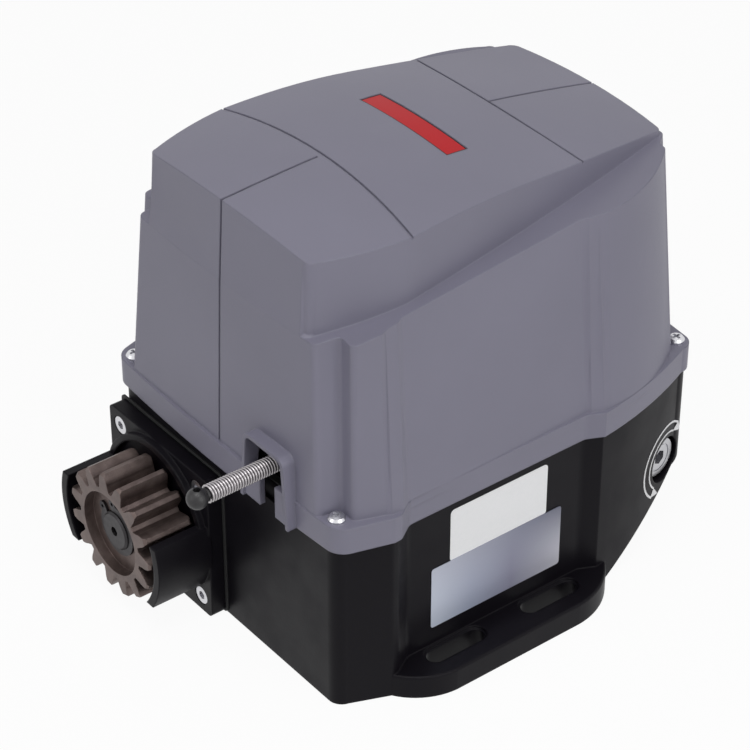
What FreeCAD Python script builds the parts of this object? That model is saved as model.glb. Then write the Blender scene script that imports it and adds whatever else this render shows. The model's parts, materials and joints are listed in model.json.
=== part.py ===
import FreeCAD, Part
import math
import os

# Sliding gate motor, in millimetres. The model is drawn with X across, Y from the front face of the
# housing to the rear and Z up from its underside, and every node is then moved so that the part's
# origin is the middle of the four anchor slots, on the underside.

V = FreeCAD.Vector
X, Y, Z = V(1, 0, 0), V(0, 1, 0), V(0, 0, 1)

# ---- clearances ----
running = 0.05        # radial play of a shaft in its bore
gap = 0.3             # play between pieces that pass or stand beside each other
fit = 0.1             # play of a piece dropped into its seat

# ---- housing (casting) ----
base_h = 92.0                 # underside to the lower edge of the cover's skirt
base_half = 84.3              # half width at the front corner
base_wall = 4.6
floor_t = 5.0
spigot_in = 1.9               # step in from the housing's side to the spigot under the cover
spigot_h = 9.5
slope_y, slope_z, slope_rise = 161.0, 1.0, 0.62   # sloped rear underside
block_h = 84.0                # top of the gearbox block, where the motor stands
block_x, block_y = 42.0, 132.0

# ---- anchor feet ----
anchor_x, anchor_y = 95.0, 91.5      # middle of the slots from the mid plane and the front face
slot_pitch = 58.0
slot_w, slot_l, slot_lip = 9.0, 33.0, 1.2
foot_h = 12.5
foot_half = 109.5
foot_front, foot_rear = 22.0, 161.0

# ---- gear train ----
pinion_x, pinion_z = -44.0, 41.0
module, teeth = 4.0, 15
pressure = math.radians(20)
tooth_w = 27.0
pinion_front = -38.5
pinion_bore = 10.0
pinion_dish_r, pinion_dish = 22.0, 5.5
worm_module, wheel_teeth = 2.0, 32
worm_r = 12.0                        # pitch radius
wheel_w = 16.0
backlash = 0.5
motor_y = 74.0
motor_x = pinion_x + worm_module * wheel_teeth / 2 + worm_r
chamber_r = 36.0
shaft_r = 12.5
front_brg = (12.5, 26.0, 15.0)       # bore, outside radius, width
rear_brg = (10.0, 23.5, 14.0)
worm_brg = (6.0, 14.0, 8.0)
bell_brg = (7.5, 17.5, 11.0)
top_brg = (6.0, 16.0, 10.0)

# ---- front flange with the pinion guard ----
flange_half = 41.0
flange_t = 8.0
gasket_t = 0.8
flange_bolt = 32.3
guard_in, guard_out = 37.5, 42.0
guard_low, guard_high = 18.0, 55.0
guard_stub = 3.4
flange_screw_r, flange_head_r, flange_head_h = 2.9, 4.6, 4.4

# ---- cover ----
rim_top = base_h + 14.0
cover_wall = 2.6
flange_plate = 3.6
seal_t = 0.9
ledge_z, ledge_rise = base_h + 101.0, 0.1
groove_w, groove_d = 1.2, 1.0
badge_l, badge_w, badge_y = 64.0, 12.3, 110.5
front_screw, rear_screw = (80.4, 4.3), (70.2, 219.4)
cover_screw_r, cover_head_r, cover_head_h = 1.95, 4.2, 2.9

# ---- limit switch ----
arm_x, arm_z = 41.5, 117.0
spring_r, wire_d = 4.4, 1.4
ball_r, ball_y = 5.2, -43.5
pivot_y = 15.0
hood_front = -7.8
hood_top, hood_half_top, hood_half_low, hood_wall = base_h + 37.6, 14.9, 18.3, 2.0

# ---- release ----
release_at = V(79.5, 207.5, 45.0)
release_turn = math.radians(12)
release_dir = V(math.cos(release_turn), math.sin(release_turn), 0)
release_pit_r, release_pit = 12.3, 8.0
disc_r, disc_sunk = 10.3, 2.6
hex_af = 7.0
spindle_r = 6.0
throw = 3.2
rod_x = -12.0
rod_r = 3.5
collar_r, collar_groove_r = 21.0, 17.5

# ---- motor ----
stator_r, stator_in, stator_low, stator_h = 50.0, 32.0, block_h + 16.0, 50.0
bell_r, bell_wall = 52.0, 3.2
bell_h = stator_low - block_h
motor_bolt_ring, motor_bolt_r = 46.3, 2.4

# ---- electronics ----
shelf_z, sheet_t = 99.0, 1.5
shelf_y0, shelf_y1, shelf_half = 136.0, 200.0, 60.0
board_w, board_h, board_t = 104.0, 74.0, 1.6
board_z = 107.0
standoff = 6.0

os.makedirs("parts", exist_ok=True)
to_origin = V(0, -anchor_y, 0)


def put(node, *solids):
    """Moves the solids to the part's frame and writes them as one node."""
    shape = solids[0] if len(solids) == 1 else Part.makeCompound(list(solids))
    shape = shape.copy()
    shape.translate(to_origin)
    shape.exportStep("parts/" + node + ".step")


# ---- small shapes ----
def box(x0, x1, y0, y1, z0, z1):
    return Part.makeBox(x1 - x0, y1 - y0, z1 - z0, V(x0, y0, z0))


def rod(radius, start, direction, length):
    return Part.makeCylinder(radius, length, start, direction)


def tube(outer, inner, start, direction, length):
    return rod(outer, start, direction, length).cut(rod(inner, start, direction, length))


def prism(points, direction):
    return Part.Face(Part.makePolygon(points + [points[0]])).extrude(direction)


def spun(profile, origin, axis, turn=360):
    """A body of revolution: profile is (radius, distance along the axis)."""
    side = V(0, 0, 1).cross(axis)
    side = X if side.Length < 0.1 else side.normalize()
    points = [origin + side * r + axis * h for r, h in profile]
    return Part.Face(Part.makePolygon(points + [points[0]])).revolve(origin, axis, turn)


def hexagon(across_flats, centre, axis, length):
    side = V(0, 0, 1) if abs(axis.z) < 0.5 else X
    other = axis.cross(side)
    corner = across_flats / math.sqrt(3)
    spokes = [math.radians(60 * i) for i in range(6)]
    points = [centre + side * (corner * math.cos(a)) + other * (corner * math.sin(a)) for a in spokes]
    return prism(points, axis * length)


def slot(x, y, z0, z1, width, length):
    """An upright slot that runs along Y."""
    half = (length - width) / 2
    body = box(x - width / 2, x + width / 2, y - half, y + half, z0, z1)
    for end in (-half, half):
        body = body.fuse(rod(width / 2, V(x, y + end, z0), Z, z1 - z0))
    return body.removeSplitter()


def mirrored(shape):
    return shape.mirror(V(0, 0, 0), X)


def both_sides(shape):
    return shape.fuse(mirrored(shape))


def bearing(size, start, axis):
    """A sealed ball bearing: two rings with a shield between, as one unit."""
    bore, outside, width = size
    ring = tube(outside - fit / 2, bore + running, start, axis, width)
    shield_in, shield_out = bore + (outside - bore) * 0.3, outside - (outside - bore) * 0.25
    for end, sign in ((start, 1), (start + axis * width, -1)):
        ring = ring.cut(tube(shield_out, shield_in, end, axis * sign, 0.6))
    return ring


# ---- plan outlines: right-hand side from front to rear; "via" marks the middle of an arc and a number
# is the radius that rounds a corner ----
def closed(side, front, rear):
    right = [(s[0], s[1], s[2] if len(s) > 2 else 0) for s in side]
    left = [(-x, y, via) for x, y, via in reversed(right)]
    return right + [(0, rear, "via")] + left + [(0, front, "via")]


def shrunk(points, distance):
    """The outline moved inwards, each corner along its mitre."""
    moved = []
    count = len(points)
    for i, (x, y, via) in enumerate(points):
        before, after = points[i - 1], points[(i + 1) % count]
        u = V(x - before[0], y - before[1], 0).normalize()
        v = V(after[0] - x, after[1] - y, 0).normalize()
        nu, nv = V(-u.y, u.x, 0), V(-v.y, v.x, 0)
        step = (nu + nv) * (distance / (1 + nu.dot(nv)))
        moved.append((x + step.x, y + step.y, via))
    return moved


def eased(points):
    """The outline with an arc in place of each corner that has a radius."""
    made = []
    count = len(points)
    for i, (x, y, mark) in enumerate(points):
        if mark == "via" or not mark:
            made.append((x, y, mark == "via"))
            continue
        before, after = points[i - 1], points[(i + 1) % count]
        u = V(x - before[0], y - before[1], 0)
        v = V(after[0] - x, after[1] - y, 0)
        room = 0.45 * min(u.Length, v.Length)
        u.normalize()
        v.normalize()
        half = u.getAngle(v) / 2
        back = min(mark * math.tan(half), room)
        radius = back / math.tan(half)
        inward = (v - u).normalize() * (radius / math.cos(half) - radius)
        made += [(x - u.x * back, y - u.y * back, False), (x + inward.x, y + inward.y, True),
                 (x + v.x * back, y + v.y * back, False)]
    return made


def wire(outline, z):
    points = eased(outline)
    edges = []
    count = len(points)
    for i, (x, y, via) in enumerate(points):
        if via:
            continue
        second = points[(i + 1) % count]
        start = V(x, y, z)
        if second[2]:
            third = points[(i + 2) % count]
            edges.append(Part.Arc(start, V(second[0], second[1], z), V(third[0], third[1], z)).toShape())
        else:
            edges.append(Part.makeLine(start, V(second[0], second[1], z)))
    return Part.Wire(edges)


def slab(points, z0, z1):
    return Part.Face(wire(points, z0)).extrude(Z * (z1 - z0))


def tapered(low, z_low, high, z_high, z0, z1):
    """A drafted body through two outlines, carried on from z0 to z1."""
    wires = []
    for z in (z0, z1):
        k = (z - z_low) / (z_high - z_low)
        points = [(a[0] + (b[0] - a[0]) * k, a[1] + (b[1] - a[1]) * k, a[2]) for a, b in zip(low, high)]
        wires.append(wire(points, z))
    return Part.makeLoft(wires, True, True)


jog = 9.0                      # length of the rear step between the waist and the lobe
waist = 89.5                   # half width of the skirt between the lobes
waist_front, waist_rear = 38.5, 144.0
rim_side = [(80.0, -1.7), (86.2, 0.5, "via"), (89.7, 6.0), (95.6, 25.5, 4.0), (95.4, 29.5, 4.0),
            (waist, waist_front, 7.0), (waist, waist_rear, 7.0), (93.9, waist_rear + jog), (89.2, 181.0, "via"),
            (77.4, 217.2), (75.4, 223.2, "via"), (69.6, 226.0)]
rim = closed(rim_side, -4.3, 229.5)
base_side = [(78.5, 0.0), (83.2, 1.5, "via"), (86.0, 5.8), (94.2, 25.5, 4.0), (94.0, 29.0, 4.0),
             (waist - 1.3, waist_front, 7.0), (waist - 1.3, waist_rear, 7.0), (92.6, waist_rear + jog),
             (88.0, 181.0, "via"), (76.2, 216.6), (74.2, 222.2, "via"), (68.8, 224.8)]
base_plan = closed(base_side, 0.0, 228.2)


def base_slab(distance, z0, z1):
    """The housing's outline moved inwards; its front edge is straight."""
    points = shrunk(base_plan, distance)
    points = points[:-1]
    return slab(points, z0, z1)


def under_slope(lift):
    """All that lies below the sloped rear underside, lifted by a wall's thickness."""
    far = 300.0
    start = V(-far, slope_y, slope_z + lift)
    rise = V(0, far, far * slope_rise)
    back = V(0, -far, -far * slope_rise)
    points = [start + back, start + rise, start + rise - Z * (2 * far), start + back - Z * (2 * far)]
    return prism(points, X * (2 * far))


# ---- housing ----
def foot():
    inner = base_half - 8
    edges = [Part.Arc(V(88.3, foot_front, 0), V(103.0, 33.8, 0), V(foot_half, 52.0, 0)).toShape(),
             Part.makeLine(V(foot_half, 52.0, 0), V(foot_half, 128.0, 0)),
             Part.Arc(V(foot_half, 128.0, 0), V(104.6, 146.0, 0), V(90.0, foot_rear, 0)).toShape(),
             Part.makeLine(V(90.0, foot_rear, 0), V(inner, foot_rear, 0)),
             Part.makeLine(V(inner, foot_rear, 0), V(inner, foot_front, 0)),
             Part.makeLine(V(inner, foot_front, 0), V(88.3, foot_front, 0))]
    body = Part.Face(Part.Wire(edges)).extrude(Z * foot_h)
    rim_edges = [e for e in body.Edges if e.BoundBox.ZMin > foot_h - 0.1 and e.BoundBox.XMax > 95]
    return body.makeFillet(1.2, rim_edges)


def anchor_slots():
    cuts = []
    for y in (anchor_y - slot_pitch / 2, anchor_y + slot_pitch / 2):
        cuts.append(slot(anchor_x, y, -1, foot_h + 1, slot_w, slot_l))
        lip = slot(anchor_x, y, foot_h - slot_lip, foot_h + 1, slot_w + 2 * slot_lip, slot_l + 2 * slot_lip)
        cuts.append(lip)
    return both_sides(cuts[0].multiFuse(cuts[1:]))


def cover_screw_places():
    return [V(sx * p[0], p[1], 0) for p in (front_screw, rear_screw) for sx in (-1, 1)]


def motor_bolt_places():
    spokes = [math.radians(a) for a in (45, 135, 225, 315)]
    return [V(motor_x + motor_bolt_ring * math.cos(a), motor_y + motor_bolt_ring * math.sin(a), 0)
            for a in spokes]


def flange_bolt_places():
    return [V(pinion_x + sx * flange_bolt, 0, pinion_z + sz * flange_bolt) for sx in (-1, 1) for sz in (-1, 1)]


shelf_posts = [V(sx * x, y, 0) for x, y in ((52.0, 144.0), (54.0, 190.0)) for sx in (-1, 1)]
post_r = 5.0
grommet_at, grommet_r = V(64.0, 96.0, 0), 9.0
on_axis = V(pinion_x, 0, pinion_z)
rear_brg_y = block_y - 4.0 - rear_brg[2]
rod_lift = release_at.z - pinion_z
rib_x, rib_t, rib_y = 4.0, 5.0, 192.0
chamber_end = rear_brg_y - 3.0
worm_floor = 9.0
limit_post = 17.5
limit_posts = [V(arm_x - limit_post, pivot_y, 0), V(arm_x + limit_post, pivot_y, 0)]
limit_floor = 104.6


def base_housing():
    top = base_h + spigot_h
    body = base_slab(0, 0, base_h).fuse(base_slab(spigot_in, base_h - 1, top)).fuse(both_sides(foot()))
    body = body.cut(under_slope(0))
    outside = body
    inside = base_slab(base_wall, floor_t, top + 1).cut(under_slope(floor_t))
    block = box(-base_half - 20, motor_x + block_x, -1, block_y, 0, block_h)
    pocket = inside.cut(block)
    posts = [rod(6.5, V(p.x, p.y, 50), Z, top - 50) for p in cover_screw_places()]
    posts += [rod(post_r, V(p.x, p.y, 3), Z, shelf_z - 3) for p in shelf_posts]
    posts += [rod(post_r, V(p.x, p.y, 3), Z, limit_floor - 3) for p in limit_posts]
    posts.append(box(rib_x, rib_x + rib_t, rib_y - 12, rib_y + 12, 3, release_at.z + 11))
    boss_len = 26.0
    boss = rod(release_pit_r + 4, release_at + release_dir * 6, release_dir * -1, boss_len)
    body = body.cut(pocket).fuse(outside.common(posts[0].multiFuse(posts[1:4] + [boss])))
    body = body.fuse(posts[4].multiFuse(posts[5:]).cut(under_slope(0)))
    cuts = [rod(chamber_r, on_axis - Y, Y, chamber_end + 1),
            rod(rear_brg[1], on_axis + Y * (rear_brg_y), Y, rear_brg[2]),
            rod(shaft_r + 4, on_axis + Y * chamber_end, Y, 4),
            rod(16.0, V(motor_x, motor_y, worm_floor + worm_brg[2] + 1), Z, block_h),
            rod(worm_brg[1], V(motor_x, motor_y, worm_floor), Z, block_h),
            rod(rod_r + running, V(rod_x, chamber_end - 1, pinion_z + rod_lift), Y, block_y - chamber_end + 2),
            rod(release_pit_r, release_at + release_dir * 8, release_dir * -1, 8 + release_pit),
            rod(spindle_r + running, release_at, release_dir * -1, 84),
            rod(grommet_r, grommet_at - Z, Z, floor_t + 2),
            anchor_slots()]
    cuts += [rod(cover_screw_r + fit, p + Z * 72, Z, 60) for p in cover_screw_places()]
    cuts += [rod(motor_bolt_r + fit, p + Z * (block_h - 14), Z, 20) for p in motor_bolt_places()]
    cuts += [rod(flange_screw_r + fit, p - Y, Y, 15) for p in flange_bolt_places()]
    cuts += [rod(1.6, p + Z * (shelf_z - 12), Z, 14) for p in shelf_posts]
    cuts += [rod(1.6, p + Z * (limit_floor - 10), Z, 12) for p in limit_posts]
    return body.cut(cuts[0].multiFuse(cuts[1:]))




# ---- front flange, gasket and screws ----
def flange_outline(half, z_low, radius, y0, y1):
    body = box(pinion_x - half, pinion_x + half, y0, y1, z_low, pinion_z + half)
    upright = [e for e in body.Edges if abs(e.Vertexes[0].Z - e.Vertexes[-1].Z) < 0.01
               and abs(e.Vertexes[0].X - e.Vertexes[-1].X) < 0.01]
    return body.makeFillet(radius, upright)


def front_flange():
    plate_y = -gasket_t - flange_t
    plate = flange_outline(flange_half, pinion_z - flange_half, 3.0, plate_y, -gasket_t)
    front = V(pinion_x, pinion_front, pinion_z)
    guard_len = plate_y - pinion_front
    guard = tube(guard_out, guard_in, front, Y, guard_len + 1)
    side = box(pinion_x - guard_out - 1, pinion_x + guard_out + 1, pinion_front - 1, plate_y + 2,
               guard_low, guard_high)
    guard = guard.common(side)
    limits = box(pinion_x - flange_half, pinion_x + flange_half, pinion_front - 1, plate_y + 2, 0, 100)
    stub = tube(flange_half, guard_in, V(pinion_x, plate_y - guard_stub, pinion_z), Y, guard_stub + 1)
    stub = stub.common(limits)
    spigot_r = chamber_r - fit
    spigot = rod(spigot_r, on_axis - Y * 2, Y, front_brg[2] + 2)
    body = plate.multiFuse([guard, stub, spigot])
    seal_y = plate_y + 2
    cuts = [rod(front_brg[1], on_axis - Y * 2, Y, front_brg[2] + 3),
            rod(oil_seal_r, V(pinion_x, seal_y - 0.2, pinion_z), Y, oil_seal_w + 0.2),
            rod(shaft_r + 3, V(pinion_x, plate_y - 1, pinion_z), Y, flange_t + 2)]
    for place in flange_bolt_places():
        cuts.append(rod(flange_screw_r + fit, place - Y * 20, Y, 30))
        cuts.append(rod(flange_head_r + 0.3, place + Y * (plate_y - 6), Y, 6 + flange_head_h + 0.2))
    return body.cut(cuts[0].multiFuse(cuts[1:]))


oil_seal_r, oil_seal_w = 20.0, 4.5
seal_start = -gasket_t - flange_t + 2


def oil_seal():
    """Ring with a lip and a garter-spring groove."""
    start = V(pinion_x, seal_start, pinion_z)
    profile = [(shaft_r + gap, 1.0), (shaft_r + 2.4, 0), (oil_seal_r - fit / 2, 0), (oil_seal_r - fit / 2, oil_seal_w),
               (oil_seal_r - 1.8, oil_seal_w), (oil_seal_r - 1.8, 1.4), (shaft_r + 2.6, 1.4),
               (shaft_r + 2.6, 3.4), (shaft_r + gap, 3.0)]
    return spun(profile, start, Y)


def flange_gasket():
    sheet = flange_outline(flange_half + 1.5, 0, 3.0, -gasket_t, 0)
    cuts = [rod(chamber_r + 0.2, on_axis - Y * 2, Y, 4)]
    cuts += [rod(flange_screw_r + fit, place - Y * 2, Y, 4) for place in flange_bolt_places()]
    return sheet.cut(cuts[0].multiFuse(cuts[1:]))


def socket_screw(place, direction, head_r, head_h, shank_r, length, af):
    """A socket screw: place is the middle of the head's seat, direction runs along the shank."""
    head = rod(head_r, place - direction * head_h, direction, head_h)
    shank = rod(shank_r, place - direction * 0.5, direction, length + 0.5)
    socket = hexagon(af, place - direction * head_h, direction, head_h * 0.55)
    return head.fuse(shank).cut(socket)


def flange_screws():
    seat = -gasket_t - flange_t + flange_head_h + 0.2
    return [socket_screw(V(p.x, seat, p.z), Y, flange_head_r, flange_head_h, flange_screw_r, 16.0, 4.0)
            for p in flange_bolt_places()]


# ---- gears ----
def involute_outline(m, count, root_r, tip_r, thin, steps, pressure_angle):
    """Closed outline of a spur gear as one list of points, a gap centred at angle 0."""
    pitch_r = m * count / 2
    base_r = pitch_r * math.cos(pressure_angle)
    inv = math.tan(pressure_angle) - pressure_angle
    half_tooth = math.pi / (2 * count) - thin / (2 * pitch_r)
    flank = []
    for i in range(steps + 1):
        r = max(base_r, root_r) + (tip_r - max(base_r, root_r)) * i / steps
        roll = math.acos(min(1.0, base_r / r))
        flank.append((r, half_tooth + inv - (math.tan(roll) - roll)))
    flank = [(root_r, flank[0][1] + 0.5 * (math.pi / count - flank[0][1]))] + flank
    outline = []
    for tooth in range(count):
        middle = 2 * math.pi * (tooth + 0.5) / count
        outline += [(r, middle - a) for r, a in flank]
        outline += [(r, middle + a) for r, a in reversed(flank)]
    return outline


def gear_wire(outline, y, twist):
    points = [V(pinion_x + r * math.cos(a + twist), y, pinion_z + r * math.sin(a + twist)) for r, a in outline]
    return Part.makePolygon(points + [points[0]])


def drive_pinion():
    root_r, tip_r = module * teeth / 2 - 1.25 * module, module * teeth / 2 + module
    outline = involute_outline(module, teeth, root_r, tip_r, 0.3, 5, pressure)
    start = pinion_front
    body = Part.Face(gear_wire(outline, start, math.pi / teeth)).extrude(Y * tooth_w)
    bevel = spun([(0, -0.01), (tip_r - 1.2, -0.01), (tip_r + 0.01, 1.2), (tip_r + 0.01, tooth_w - 1.2),
                  (tip_r - 1.2, tooth_w + 0.01), (0, tooth_w + 0.01)], V(pinion_x, start, pinion_z), Y)
    body = body.common(bevel)
    axis_start = V(pinion_x, start, pinion_z)
    cuts = [rod(pinion_dish_r, axis_start - Y, Y, pinion_dish + 1),
            rod(pinion_bore + 0.02, axis_start - Y, Y, tooth_w + 2),
            box(pinion_x - key_w / 2, pinion_x + key_w / 2, start - 1, start + tooth_w + 1,
                pinion_z, pinion_z + pinion_bore + key_up + gap)]
    return body.cut(cuts[0].multiFuse(cuts[1:]))


key_w, key_h, key_up = 6.0, 6.0, 2.5
key_y0, key_y1 = -32.8, -13.0
shaft_end = -35.8
clip_t = 1.2
clip_y = pinion_front + pinion_dish - clip_t - 0.1
clip_turn = -35.0
shoulder_y = pinion_front + tooth_w


def pinion_key():
    top = pinion_z + pinion_bore + key_up
    body = box(pinion_x - key_w / 2, pinion_x + key_w / 2, key_y0, key_y1, top - key_h, top)
    upright = [e for e in body.Edges if abs(e.Vertexes[0].Z - e.Vertexes[-1].Z) > 1]
    return body.makeFillet(key_w / 2 - 0.01, upright)


def pinion_circlip():
    """Open retaining ring with two eyes, in its groove in front of the pinion's web."""
    start = V(pinion_x, clip_y, pinion_z)
    ring = tube(13.4, pinion_bore - 0.9, start, Y, clip_t)
    mouth = box(pinion_x - 2.6, pinion_x + 2.6, clip_y - 1, clip_y + clip_t + 1, pinion_z, pinion_z + 20)
    ring = ring.cut(mouth)
    for side in (-1, 1):
        eye = V(pinion_x + side * 5.2, clip_y, pinion_z + 13.0)
        ring = ring.fuse(rod(2.6, eye, Y, clip_t)).cut(rod(1.0, eye - Y, Y, clip_t + 2))
    ring = ring.cut(rod(pinion_bore - 0.9, start - Y, Y, clip_t + 2))
    ring.rotate(start, Y, clip_turn)
    return ring


jaw_r0, jaw_r1, jaw_sector = 15.0, 20.5, 50.0
wheel_y0 = motor_y - wheel_w / 2
hub_r = 22.0
hub_y0, hub_y1 = motor_y - 14.0, motor_y + 14.0
jaw_h = 4.0
collar_y0 = hub_y1 + gap
collar_y1 = collar_y0 + 15.7
spline_r, spline_w = 14.5, 4.0


def jaws(y0, y1, start_angle):
    lugs = []
    for i in range(3):
        turn = start_angle + 120 * i
        sector = spun([(jaw_r0, 0), (jaw_r1, 0), (jaw_r1, y1 - y0), (jaw_r0, y1 - y0)],
                      V(pinion_x, y0, pinion_z), Y, jaw_sector)
        sector.rotate(on_axis, Y, turn)
        lugs.append(sector)
    return lugs


def worm_wheel():
    pitch_r = worm_module * wheel_teeth / 2
    root_r, tip_r = pitch_r - 1.25 * worm_module, pitch_r + worm_module
    outline = involute_outline(worm_module, wheel_teeth, root_r, tip_r, backlash, 3, pressure)
    half = wheel_w / 2
    skew = half * math.tan(math.asin(worm_module / (2 * worm_r))) / pitch_r
    wires = [gear_wire(outline, motor_y + side * half, -side * skew) for side in (-1, 0, 1)]
    crown = Part.makeLoft(wires, True, True)
    blank = spun([(0, 0), (tip_r - 1, 0), (tip_r, 1), (tip_r, wheel_w - 1), (tip_r - 1, wheel_w), (0, wheel_w)],
                 V(pinion_x, wheel_y0, pinion_z), Y)
    throat = Part.makeTorus(pitch_r + worm_r, worm_r - worm_module + 0.15, on_axis + Y * motor_y, Y)
    crown = crown.common(blank).cut(throat)
    hub = rod(hub_r, V(pinion_x, hub_y0, pinion_z), Y, hub_y1 - hub_y0)
    body = crown.multiFuse([hub] + jaws(hub_y1 - 0.5, hub_y1 + jaw_h, 0))
    return body.cut(rod(shaft_r + running, on_axis, Y, 150))


def splines(extra, y0, y1):
    wide, high = spline_w + 2 * extra, spline_r + extra
    across = box(pinion_x - high, pinion_x + high, y0, y1, pinion_z - wide / 2, pinion_z + wide / 2)
    upright = box(pinion_x - wide / 2, pinion_x + wide / 2, y0, y1, pinion_z - high, pinion_z + high)
    return across.fuse(upright).common(rod(high, V(pinion_x, y0, pinion_z), Y, y1 - y0))


spline_y1 = chamber_end + 1.0


def output_shaft():
    rear_end = rear_brg_y + rear_brg[2]
    start = V(pinion_x, shaft_end, pinion_z)
    profile = [(0, 0), (pinion_bore - 1, 0), (pinion_bore, 1), (pinion_bore, clip_y - 0.05 - shaft_end),
               (pinion_bore - 1, clip_y - 0.05 - shaft_end), (pinion_bore - 1, clip_y + clip_t + 0.05 - shaft_end),
               (pinion_bore, clip_y + clip_t + 0.05 - shaft_end), (pinion_bore, shoulder_y - shaft_end),
               (shaft_r, shoulder_y - shaft_end), (shaft_r, rear_brg_y - 1 - shaft_end),
               (rear_brg[0], rear_brg_y - 1 - shaft_end), (rear_brg[0], rear_end - shaft_end), (0, rear_end - shaft_end)]
    body = spun(profile, start, Y)
    body = body.fuse(splines(0, hub_y1 + 1.5, spline_y1))
    slot_z = pinion_z + pinion_bore + key_up - key_h
    key_slot = box(pinion_x - key_w / 2, pinion_x + key_w / 2, key_y0, key_y1, slot_z, pinion_z + 20)
    ends = [e for e in key_slot.Edges if abs(e.Vertexes[0].Z - e.Vertexes[-1].Z) > 1]
    return body.cut(key_slot.makeFillet(key_w / 2 - 0.01, ends)).cut(rod(2.5, start - Y, Y, 12))


def clutch_collar():
    groove_y = fork_y
    body = rod(collar_r, V(pinion_x, collar_y0 + jaw_h, pinion_z), Y, collar_y1 - collar_y0 - jaw_h)
    body = body.multiFuse(jaws(collar_y0, collar_y0 + jaw_h + 0.5, 60))
    groove = tube(collar_r + 1, collar_groove_r, V(pinion_x, groove_y - 2.5, pinion_z), Y, 5.0)
    bore = rod(shaft_r + running, on_axis, Y, 150)
    return body.cut(groove).cut(bore).cut(splines(running, collar_y0 - 1, collar_y1 + 1))


fork_y = collar_y0 + 10.2


# ---- worm with the rotor's shaft ----
thread_z0, thread_z1 = 19.0, 60.0


def worm_shaft():
    lead = math.pi * worm_module
    root_r, tip_r = worm_r - 1.2 * worm_module, worm_r + worm_module
    foot_z = worm_floor
    axis = V(motor_x, motor_y, 0)
    end_z = bell_top_z - 3.0
    profile = [(0, foot_z), (worm_brg[0] - 0.5, foot_z), (worm_brg[0], foot_z + 0.5), (worm_brg[0], foot_z + worm_brg[2]),
               (root_r, foot_z + worm_brg[2]), (root_r, thread_z1 + 8), (bell_brg[0] + 1.5, thread_z1 + 10),
               (bell_brg[0] + 1.5, bell_brg_z), (bell_brg[0], bell_brg_z),
               (bell_brg[0], stator_low + stator_h), (top_brg[0], stator_low + stator_h), (top_brg[0], end_z), (0, end_z)]
    core = spun(profile, axis, Z)
    # crest at pinion_z on the side towards the wheel
    turns = int((thread_z1 - thread_z0) / lead)
    first = pinion_z - lead / 2 - lead * int((pinion_z - lead / 2 - thread_z0) / lead)
    helix = Part.makeHelix(lead, lead * turns, worm_r)
    helix.translate(V(motor_x, motor_y, first))
    half = (lead / 2 - backlash) / 2
    low = half + (worm_r - root_r + 0.4) * math.tan(pressure)
    high = half - (tip_r - worm_r) * math.tan(pressure)
    section = [V(motor_x + root_r - 0.4, motor_y, first - low), V(motor_x + tip_r, motor_y, first - high),
               V(motor_x + tip_r, motor_y, first + high), V(motor_x + root_r - 0.4, motor_y, first + low)]
    tooth = Part.Wire(helix.Edges).makePipeShell([Part.makePolygon(section + [section[0]])], True, True)
    return core.fuse(tooth)


bell_brg_z = block_h + 3.5


# ---- motor ----
bell_top_z = stator_low + stator_h + 16.0


def motor_lower_bell():
    axis = V(motor_x, motor_y, 0)
    outer = rod(bell_r, axis + Z * block_h, Z, bell_h)
    hollow = rod(bell_r - bell_wall, axis + Z * (block_h + bell_wall), Z, bell_h)
    hub = rod(bell_brg[1] + 3, axis + Z * block_h, Z, bell_brg[2] + 3.5)
    body = outer.cut(hollow).fuse(hub)
    lugs = []
    for place in motor_bolt_places():
        lugs.append(rod(motor_bolt_r + 2.2, place + Z * block_h, Z, bell_h))
    body = body.multiFuse(lugs)
    cuts = [rod(bell_brg[1], axis + Z * bell_brg_z, Z, 30), rod(bell_brg[0] + 4, axis + Z * (block_h - 1), Z, 10)]
    cuts += [rod(motor_bolt_r + fit, place + Z * (block_h - 1), Z, bell_h + 2) for place in motor_bolt_places()]
    for turn in range(0, 360, 30):
        a = math.radians(turn)
        spot = axis + V(bell_r * math.cos(a), bell_r * math.sin(a), block_h + 9.0)
        if turn not in (30, 60, 120, 150, 210, 240, 300, 330):
            cuts.append(rod(3.5, spot - V(math.cos(a), math.sin(a), 0) * 6, V(math.cos(a), math.sin(a), 0), 12))
    return body.cut(cuts[0].multiFuse(cuts[1:]))


def stator_core():
    axis = V(motor_x, motor_y, stator_low)
    body = tube(stator_r, stator_in, axis, Z, stator_h)
    cuts = [rod(motor_bolt_r + fit, place + Z * (stator_low - 1), Z, stator_h + 2) for place in motor_bolt_places()]
    for i in range(24):
        a = math.radians(15 * i + 7.5)
        outward = V(math.cos(a), math.sin(a), 0)
        side = V(-math.sin(a), math.cos(a), 0)
        root = axis + outward * (stator_in + 1.5) - Z
        points = [root - side * 1.6, root + outward * 8.5 - side * 2.4, root + outward * 8.5 + side * 2.4,
                  root + side * 1.6]
        cuts.append(prism(points, Z * (stator_h + 2)))
        cuts.append(prism([root - side * 0.7 - outward * 3, root + outward - side * 0.7, root + outward + side * 0.7,
                           root + side * 0.7 - outward * 3], Z * (stator_h + 2)))
    return body.cut(cuts[0].multiFuse(cuts[1:]))


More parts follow.
